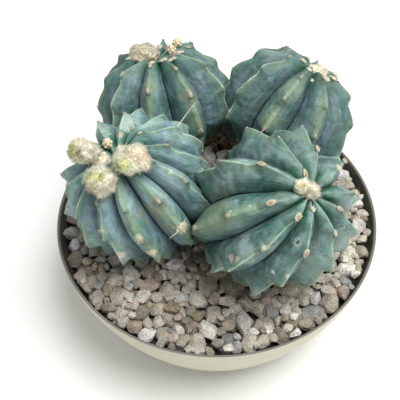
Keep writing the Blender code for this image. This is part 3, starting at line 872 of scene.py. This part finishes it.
stone_kinds = {False: range(0, 20), True: range(20, 30)}
stone_shapes = [stone_shape(knobbly) for knobbly, numbers in stone_kinds.items() for _ in numbers]
stones = []
for smallest, largest, count in SIEVES:
    for _ in range(count):
        size = rng.uniform(smallest, largest)
        half = (size, size * rng.uniform(0.66, 0.95), size * rng.uniform(0.48, 0.72))
        yaw = rng.uniform(0, math.tau)
        spots = []
        for _ in range(SPOTS_TRIED):
            turn_to, out = rng.uniform(0, math.tau), RIM_RADIUS * math.sqrt(rng.random())
            x, y = out * math.cos(turn_to), out * math.sin(turn_to)
            middle, _, _, blocked = rest_on(x, y, half, yaw)
            if not blocked and free(x, y, half, middle):
                spots.append((middle, x, y))
            if len(spots) == SPOTS_FREE:
                break
        if spots:
            _, x, y = min(spots)
            tint = pumice_tint(x, y)
            middle, block, tops, _ = rest_on(x, y, half, yaw)
            reached[block] = np.maximum(reached[block], tops)
            place = Matrix.Translation((x, y, middle)) @ Matrix.Rotation(yaw, 4, "Z")
            for axis in "XY":
                place = place @ Matrix.Rotation(rng.uniform(-STONE_TIP, STONE_TIP), 4, axis)
            kind = rng.choice(stone_kinds[size > KNOBBLY_FROM])
            stones.append((kind, place @ Matrix.Diagonal((*half, 1)), tint))
for spot in WHITE_SPOTS:
    away = [(place.translation - Vector(spot)).length for _, place, _ in stones]
    number = away.index(min(away))
    stones[number] = (*stones[number][:2], WHITE)

pumice = Finish("pumice", 0.92)
pumice.colour = pumice.attribute("tint", "Color")
veils = pumice.noise(240, 5)
pores = pumice.cells((800, 800, 1280))
fine_pores = pumice.noise(1500)
pumice.shade(veils, 0.56, 1.50)
# painted shade in the pores where the relief sinks, and painted shade and light on the fine pits and bumps
pumice.lay(PORE_SHADE, pores, 0.30, 0.10, 0.5)
pumice.shade(pumice.spread(fine_pores, 0.3, 0.7), 0.78, 1.22)
pumice.relief(pumice.sum(pumice.times(pores, 0.8), veils, fine_pores), 0.0007)
piece("pumice_stones", strewn("pumice_stones", stone_shapes, stones), [pumice.done()],
      ["gravel"], sharp=30)

# Areoles
# Each tooth of a crest carries an areole, a small oval cushion of felt with a brown middle. Near the crown
# it is cream and long, and on the old skin below it wears down to a little grey and pinkish cork.
AREOLE_LENGTH = 0.0024
AREOLE_WIDTH = 0.0013
AREOLE_HEIGHT = 0.0007
AREOLE_UP = 0.0006          # how far up the rib from its tooth's tip it sits
AREOLE_FRINGE = 14          # short hairs round each
AREOLES_FROM = 11           # in degrees down from the crown, as are the next two
AREOLES_TO = 148
YOUNG_TO = 42
HAIR_BENDS = (0.15, 0.30, 0.50)
FELT_YOUNG = (0.60, 0.57, 0.43)
FELT_OLD = (0.30, 0.31, 0.23)
FELT_PINK = (0.50, 0.40, 0.32)
FELT_CENTRE = (0.45, 0.31, 0.17)
FELT_STAIN = (0.30, 0.20, 0.13)
# How large each barrel's areoles are, how worn they get and how many of them turn pinkish, from 0 to 1
AREOLE_WEAR = {"front_right": (1.0, 0.3, 0.0), "front_left": (0.68, 0.8, 0.35),
               "back_right": (0.60, 0.9, 0.45), "back_left": (0.78, 0.8, 0.8)}


def felt_shape():
    """A pad of felt is an oval cushion with a lumpy rim."""
    bm = bmesh.new()
    bmesh.ops.create_uvsphere(bm, u_segments=10, v_segments=5, radius=1)
    shift = Vector((rng.uniform(0, 50), rng.uniform(0, 50), 0))
    for vert in bm.verts:
        lump = noise.noise(vert.co * 2.2 + shift) * 0.22 + noise.noise(vert.co * 6 + shift) * 0.10
        vert.co *= 1 + lump
    return as_mesh(bm, "felt")


def hair_shape(bend):
    """A hair is a thin three-sided spike that curves over. It is one unit long."""
    bm = bmesh.new()
    bmesh.ops.create_cone(bm, cap_ends=False, segments=3, radius1=0.06, radius2=0, depth=1,
                          matrix=Matrix.Translation((0, 0, 0.5)))
    rising = [edge for edge in bm.edges if abs(edge.verts[0].co.z - edge.verts[1].co.z) > 0.5]
    bmesh.ops.subdivide_edges(bm, edges=rising, cuts=1)
    for vert in bm.verts:
        vert.co.x += bend * vert.co.z ** 2
    return as_mesh(bm, "hair")


def facing(way):
    """A turn that points Z along a way."""
    return way.to_track_quat("Z", "Y").to_matrix().to_4x4()


felt = Finish("areole_felt", 0.95, sheen=0.25)
felt.colour = felt.attribute("tint", "Color")
fibres = felt.noise(1500)
age = felt.noise(500)
felt.shade(fibres, 0.66, 1.25)
felt.lay(FELT_STAIN, age, 0.58, 0.76, 0.55)
felt.relief(felt.sum(fibres, age), 0.0006)
areole_felt = felt.done()
felt_shapes = [felt_shape() for _ in range(6)]
hair_shapes = [hair_shape(bend) for bend in HAIR_BENDS]
for barrel in barrels.values():
    largest, wear, pinkish = AREOLE_WEAR[barrel.name]
    places = []
    for azimuth, first, plain in zip(barrel.ribs, barrel.first_areole, barrel.plain):
        last = barrel.reach * math.radians(AREOLES_TO)
        for walked in np.arange(first, last, barrel.sizes["areole"]):
            psi = math.degrees(walked / barrel.reach)
            place = barrel.seat(azimuth, psi)
            if psi < AREOLES_FROM or place.translation.z < STONE_ROOM:
                continue
            place = place @ Matrix.Translation((-AREOLE_UP, 0, 0))
            young = psi < YOUNG_TO
            size = largest * rng.uniform(0.75, 1.1) * (1.1 if young else 0.95 if plain else 0.45)
            half = Vector((AREOLE_LENGTH, AREOLE_WIDTH * rng.uniform(0.85, 1.1), AREOLE_HEIGHT)) * size
            old = min(1, max(0, (psi - 10) / 35 + rng.uniform(-0.2, 0.4)))
            worn = FELT_PINK if rng.random() < pinkish * (1 if plain else 0.4) else FELT_OLD
            tone = [fresh + (late - fresh) * old * wear for fresh, late in zip(FELT_YOUNG, worn)]
            places.append((rng.randrange(len(felt_shapes)), place @ Matrix.Diagonal((*half, 1)), tone))
            if rng.random() < (0.75 if young else 0.3):
                middle = Matrix.Diagonal((half.x * 0.66, half.y * 0.66, half.z * 0.92, 1))
                middle = place @ Matrix.Translation((0, 0, half.z * 0.35)) @ middle
                places.append((rng.randrange(len(felt_shapes)), middle, FELT_CENTRE))
            for _ in range(AREOLE_FRINGE):
                turn_to = rng.uniform(0, math.tau)
                root = Vector((half.x * math.cos(turn_to), half.y * math.sin(turn_to), 0))
                root *= rng.uniform(0.5, 0.95)
                lie = facing(root * 500 * rng.uniform(0.5, 1.5) + Vector((0, 0, 1)))
                thick = half.y * rng.uniform(1.0, 1.8)
                number = len(felt_shapes) + rng.randrange(len(hair_shapes))
                stretch = Matrix.Diagonal((thick, thick, half.y * rng.uniform(0.5, 1.1), 1))
                places.append((number, place @ Matrix.Translation(root) @ lie @ stretch, tone))
    mesh = strewn("areoles", felt_shapes + hair_shapes, places)
    piece("areoles_" + barrel.name, mesh, [areole_felt], sharp=70)

# Woolly buds
# The flower buds of the front left barrel are balls of dense cream hair, and tufts of the same wool
# fill the other crowns. Each is a soft matted core, thickly set with fine curved hairs.
WOOL_CREAM = (0.98, 0.94, 0.75)
WOOL_PEACH = (1.0, 0.78, 0.60)
WOOL_GREEN = (0.64, 0.68, 0.20)
WOOL_BROWN = (0.20, 0.12, 0.06)
TUFT_SCALE = 300            # how fine the tufts are that the hairs gather in, per metre
TUFT_SHIFTS = ((9.3, -1.5, -8.0), (0, 0, 0), (6.3, 0.2, -2.7))
# The piece, its node, its hairs and their length in millimetres, the body's shares of the node's box, how far
# it hangs over to the side in millimetres, and how fine its core is
WOOLS = [
    ("wool_ball_1", "woolly_bud_1", 4600, 1.8, (1, 0.84, 0.72), (4.2, 0, 1.4), 5),
    ("wool_ball_2", "woolly_bud_2", 4600, 2.1, (0.8, 0.8, 0.8), (2.8, 0, 1.2), 5),
    ("wool_ball_3", "woolly_bud_3", 3800, 1.9, (1.04, 0.8, 0.7), (2.8, 0, 1), 5),
    ("wool_lump", "woolly_lump", 1500, 1.6, (1.15, 1, 1), (0, 0, 0), 4),
    ("wool_back_left", "back_left_wool", 4000, 1.9, (1.04, 1, 0.94), (0, 0, 0), 5),
    ("wool_front_right_1", "front_right_wool_1", 1500, 1.2, (1.16, 1.1, 1.1), (0, 0, 0), 4),
    ("wool_front_right_2", "front_right_wool_2", 2200, 1.8, (1, 1, 1), (-1.2, 1.8, 0.8), 4),
    ("wool_back_right", "back_right_wool", 2400, 1.5, (0.94, 0.6, 0.6), (0, -1, 0), 4),
]
# Where each bud shows through or its wool is stained: the way from its middle and the radius in
# millimetres, the colour and how much it covers
STAINS = {
    "wool_ball_1": [
        ((0, 0, 0), 30, (0.80, 0.82, 0.62), 0.6), ((-2.8, -6, 2.6), 3.2, WOOL_GREEN, 0.75),
        ((-5.4, -3.6, 3.6), 2.2, WOOL_GREEN, 0.45), ((6.2, -2.4, 3.6), 4.8, WOOL_PEACH, 0.8),
        ((1, -1, 5.6), 2.8, WOOL_PEACH, 0.6)],
    "wool_ball_2": [
        ((0.6, -3, 5.8), 2.4, WOOL_GREEN, 0.9), ((-3.6, -2.2, 5.2), 2.8, WOOL_GREEN, 0.75),
        ((-2.4, -5.6, 3.2), 2.4, WOOL_GREEN, 0.6), ((-5.4, -1.4, 3.6), 1.5, WOOL_BROWN, 0.8),
        ((-1, 0.6, 6.6), 1.1, WOOL_BROWN, 0.6), ((2.4, -5.8, 2.2), 3, WOOL_PEACH, 0.5)],
    "wool_ball_3": [
        ((-5.4, -1.6, 2.6), 4.2, WOOL_GREEN, 0.85), ((-3.4, -3.8, 2.2), 2.4, WOOL_GREEN, 0.6),
        ((-1.8, -3.6, 3.4), 1.4, WOOL_BROWN, 0.8), ((-3.8, -4, 1.2), 1.3, WOOL_BROWN, 0.75)],
    "wool_lump": [
        ((-1, -3, 1.6), 1.8, WOOL_PEACH, 0.6)],
    "wool_back_left": [
        ((0, 0, 0), 30, (0.73, 0.70, 0.52), 0.95), ((-3, -5, 2.6), 4, WOOL_PEACH, 0.25),
        ((4, -3, 3.6), 3, WOOL_PEACH, 0.2), ((1.6, -6.4, -0.6), 2.2, WOOL_BROWN, 0.85),
        ((4.6, -5.4, -0.4), 1.9, WOOL_BROWN, 0.8)],
    "wool_front_right_1": [
        ((-0.3, -1.8, 2.6), 1.8, (0.60, 0.50, 0.14), 0.9)],
}


def bud_core(name, middle, size, fineness):
    """The matted body under the loose hairs. It has a few large lobes and many small lumps."""
    bm = bmesh.new()
    bmesh.ops.create_icosphere(bm, subdivisions=fineness, radius=0.5)
    shift = Vector((rng.uniform(0, 50), rng.uniform(0, 50), rng.uniform(0, 50)))
    for vert in bm.verts:
        place = vert.co + shift
        lumps = 0.11 * abs(noise.noise(place * 8)) + 0.05 * noise.noise(place * 20)
        vert.co *= 0.96 + 0.36 * noise.noise(place * 3.2) + lumps
        vert.co = middle + size @ vert.co
    return as_mesh(bm, name)


def hairs_on(core, count, length):
    """Places for hairs over a core. They lie along it in tufts, and some of them stand out."""
    core.calc_loop_triangles()
    corners = [vert.co for vert in core.vertices]
    triangles = [[corners[corner] for corner in triangle.vertices] for triangle in core.loop_triangles]
    areas = [(b - a).cross(c - a).length for a, b, c in triangles]
    places = []
    for a, b, c in rng.choices(triangles, areas, k=count):
        u, v = sorted((rng.random(), rng.random()))
        root = a * u + b * (v - u) + c * (1 - v)
        out = (b - a).cross(c - a).normalized()
        tuft = Vector([noise.noise(root * TUFT_SCALE + Vector(shift)) for shift in TUFT_SHIFTS])
        flat = 0.5 if rng.random() < 0.16 else rng.uniform(1.6, 3.4)
        lie = facing((out * 0.6 + tuft * flat + scatter() * 0.30).normalized())
        scale = length * rng.uniform(0.5, 1.1) * (1.5 if flat < 1 else 1)
        tone = rng.uniform(0.94, 1.12)
        number = rng.randrange(len(hair_shapes))
        place = Matrix.Translation(root - out * 0.0001) @ lie
        place = place @ Matrix.Rotation(rng.uniform(0, math.tau), 4, "Z") @ Matrix.Scale(scale, 4)
        places.append((number, place, (tone,) * 3))
    return places


def wool_finish(name, middle):
    """Cream wool with peach parts, and the stains that its piece has round its middle."""
    wool = Finish(name, 0.9, WOOL_CREAM, sheen=0.3)
    clumps = wool.noise(150)
    strands = wool.noise(1400, 3, 0.8)
    wool.lay(WOOL_PEACH, clumps, 0.54, 0.70, 0.4)
    uneven = wool.sum(clumps, wool.noise(560), -1.0)
    for way, radius, tint, cover in STAINS.get(name, ()):
        wool.spot(middle + Vector(way) / 1000, radius / 1000, 1.4, 0.2, uneven, tint, cover)
    wool.shade(strands, 0.84, 1.22)
    wool.coat(1.0, wool.attribute("tint", "Color"), "MULTIPLY")
    wool.relief(strands, 0.0012)
    return wool.done()


for name, node, count, length, shares, hang, fineness in WOOLS:
    low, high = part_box(node)
    middle = (low + high) / 2 + Vector(hang) / 1000
    core = bud_core(name + "_core", middle, Matrix.Diagonal(shares) @ Matrix.Diagonal(high - low), fineness)
    places = hairs_on(core, count, length / 1000)
    places.append((len(hair_shapes), Matrix.Identity(4), (1.0, 1.0, 0.97)))
    mesh = strewn(name, hair_shapes + [core], places)
    piece(name, mesh, [wool_finish(name, middle)], [node], sharp=180)

# Wool tufts
# Loose tufts of the same wool stand on the youngest areoles, round the crowns, and on a few old ones. Each
# is a small felt pad, set with short hairs that spread out from it.
TUFT_HAIRS = 240
TUFT_PAD = (0.45, 0.38, 0.26)   # its half axes, as shares of the tuft's reach
# Where they stand on each barrel: azimuth and psi, and the tuft's reach in millimetres
TUFTS = {
    "front_left": [(308, 84, 3.4), (278, 74, 2.0), (252, 63, 1.5)],
    "back_left": [(300, 11, 2.6), (316, 13, 2.6), (330, 14, 2.4), (345, 15, 2.6), (264, 16, 2.0),
                  (0, 18, 2.0), (47, 12, 2.2), (84, 13, 2.0), (20, 11, 2.2)],
    "back_right": [(280, 23, 2.6), (262, 17, 2.4), (242, 20, 2.0), (327, 16, 2.6), (205, 13, 2.2),
                   (300, 27, 1.8), (2, 18, 2.4)],
    "front_right": [(49, 27, 2.0), (269, 9, 1.6)],
}
places = []
for name, tufts in TUFTS.items():
    for azimuth, psi, reach in tufts:
        reach = reach / 1000
        pad = barrels[name].seat(azimuth, psi)
        turned = pad.to_3x3()
        size = Matrix.Diagonal([reach * share for share in TUFT_PAD] + [1])
        places.append((len(hair_shapes), pad @ size, (0.98, 0.96, 0.88)))
        for _ in range(TUFT_HAIRS):
            way = scatter()
            root = pad.translation + turned @ Vector((way.x * 0.36, way.y * 0.30, 0.06)) * reach
            loose = turned @ Vector((way.x, way.y, 0)) + scatter() * 0.5
            lie = facing((turned.col[2] + loose * 0.5).normalized())
            tone = rng.uniform(0.96, 1.14)
            number = rng.randrange(len(hair_shapes))
            size = Matrix.Diagonal((reach * 1.5, reach * 1.5, reach * rng.uniform(0.25, 0.65), 1))
            places.append((number, Matrix.Translation(root) @ lie @ size, (tone, tone, tone * 0.95)))
piece("wool_tufts", strewn("wool_tufts", hair_shapes + [felt_shapes[0]], places),
      [wool_finish("wool_tufts", Vector())], sharp=180)

# Bare buds
# Three small buds show no wool yet. Each is a pointed knob of overlapping green scales with tan tips.
BUD_TAN = (0.84, 0.68, 0.48)
BUD_GREEN = (0.42, 0.43, 0.24)
BUD_RED = (0.38, 0.15, 0.09)
SCALE_ROWS, SCALE_SLANT = 2.5, 2.6      # how often the scales cross round the bud, and down it
BARE_BUDS = {"knob_front_left": "bare_bud", "knob_back_left_1": "back_left_bud_1",
             "knob_back_left_2": "back_left_bud_2"}
bud_skin = Finish("bud_skin", 0.7, BUD_GREEN)
patches = bud_skin.noise(420)
bud_skin.lay(BUD_TAN, patches, 0.50, 0.64, 0.6)
bud_skin.lay(BUD_TAN, bud_skin.attribute("tip"), 0.08, 0.60)
bud_skin.lay(BUD_RED, bud_skin.noise(700, 2), 0.58, 0.70)
bud_skin.relief(patches, 0.0006)
bud_finish = bud_skin.done()
for name, node in BARE_BUDS.items():
    low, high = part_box(node)
    bm = bmesh.new()
    bmesh.ops.create_uvsphere(bm, u_segments=40, v_segments=30, radius=0.5)
    tip_of = bm.verts.layers.float.new("tip")
    for vert in bm.verts:
        turn_by, drop = math.atan2(vert.co.y, vert.co.x), math.acos(max(-1, min(1, 2 * vert.co.z)))
        round_it, down_it = SCALE_ROWS * turn_by, SCALE_SLANT * drop
        scales = math.cos(round_it + down_it) * math.cos(round_it - down_it)
        vert[tip_of] = abs(scales)
        slim = 0.92 - 0.12 * math.cos(drop)
        vert.co.xy *= slim * (1 + 0.30 * (abs(scales) - 0.3) * math.sin(drop))
        vert.co.z *= 1 - 0.05 * scales
        vert.co = (low + high) / 2 + Matrix.Diagonal(high - low) @ vert.co
    piece(name, as_mesh(bm, name), [bud_finish], [node], sharp=60)

# Spines and straw
# A few thin pale spines are left on the old areoles, and dry straw has fallen between the barrels. Each
# is a drawn-out round tube that bends a little.
SPINE_STEPS = 7
SPINE_RADIUS = 0.00026
SPINE_TAPER = 0.75          # the share of its width that it loses to its tip
SPINE_BEND = 0.05           # how far its middle bends away, as a share of its length
HORN_PALE = (0.86, 0.82, 0.66)
HORN_TAN = (0.66, 0.56, 0.38)
# The barrel, rib and psi that each spine stands on, its length and the way that it points
SPINES = [
    ("front_left", 25, 53, 0.0165, (0.60, 0.63, 0.49)),
    ("front_left", 308, 84, 0.0085, (-0.62, -0.70, -0.05)),
    ("front_left", 308, 84, 0.0060, (0.50, -0.80, 0.30)),
    ("front_left", 278, 74, 0.0050, (0.10, -0.90, 0.40)),
    ("front_left", 226, 50, 0.0075, (0.38, 0.73, 0.56)),
    ("back_right", 242, 96, 0.0060, (-0.30, -0.80, 0.50)),
    ("back_right", 280, 82, 0.0045, (0.30, -0.80, 0.50)),
]
STRAWS = [((-0.0045, 0.0540, 0.0650), (0.0060, 0.0600, 0.0705), 0.00035),
          ((-0.0100, 0.0500, 0.0640), (-0.0020, 0.0590, 0.0660), 0.00030)]
STRAW_SAG = Vector((0, 0, 0.0006))
STRAW_TAPER = 0.2


def tube(bm, start, tip, sag, radius, taper):
    """A round tube from start to tip, whose middle is off the straight line by sag."""
    line = tip - start
    made = bmesh.ops.create_circle(bm, cap_ends=True, segments=6, radius=radius,
                                   matrix=Matrix.Translation(start) @ facing(line))
    ring = made["verts"]
    before = Vector(start)
    for step in range(1, SPINE_STEPS + 1):
        share = step / SPINE_STEPS
        middle = start + line * share + sag * math.sin(math.pi * share)
        edges = [edge for edge in bm.edges if edge.verts[0] in ring and edge.verts[1] in ring]
        grown_edges = bmesh.ops.extrude_edge_only(bm, edges=edges)["geom"]
        ring = [part for part in grown_edges if isinstance(part, bmesh.types.BMVert)]
        narrower = (1 - taper * share) / (1 - taper * (share - 1 / SPINE_STEPS))
        for vert in ring:
            vert.co = middle + (vert.co - before) * narrower
        before = middle
    bmesh.ops.contextual_create(bm, geom=ring)


horn = Finish("spine_horn", 0.5)
horn.colour = horn.mix(horn.noise(300), HORN_PALE, HORN_TAN)
spine_horn = horn.done()
bm = bmesh.new()
for name, azimuth, psi, length, way in SPINES:
    place = barrels[name].seat(azimuth, psi)
    root, up = place.translation, place.to_3x3().col[2]
    tip = root + Vector(way).normalized() * length
    tube(bm, root, tip, up * length * SPINE_BEND, SPINE_RADIUS, SPINE_TAPER)
bmesh.ops.recalc_face_normals(bm, faces=bm.faces)
piece("spines", as_mesh(bm, "spines"), [spine_horn])
bm = bmesh.new()
for start, tip, radius in STRAWS:
    tube(bm, Vector(start), Vector(tip), STRAW_SAG, radius, STRAW_TAPER)
bmesh.ops.recalc_face_normals(bm, faces=bm.faces)
piece("straw", as_mesh(bm, "straw"), [spine_horn])
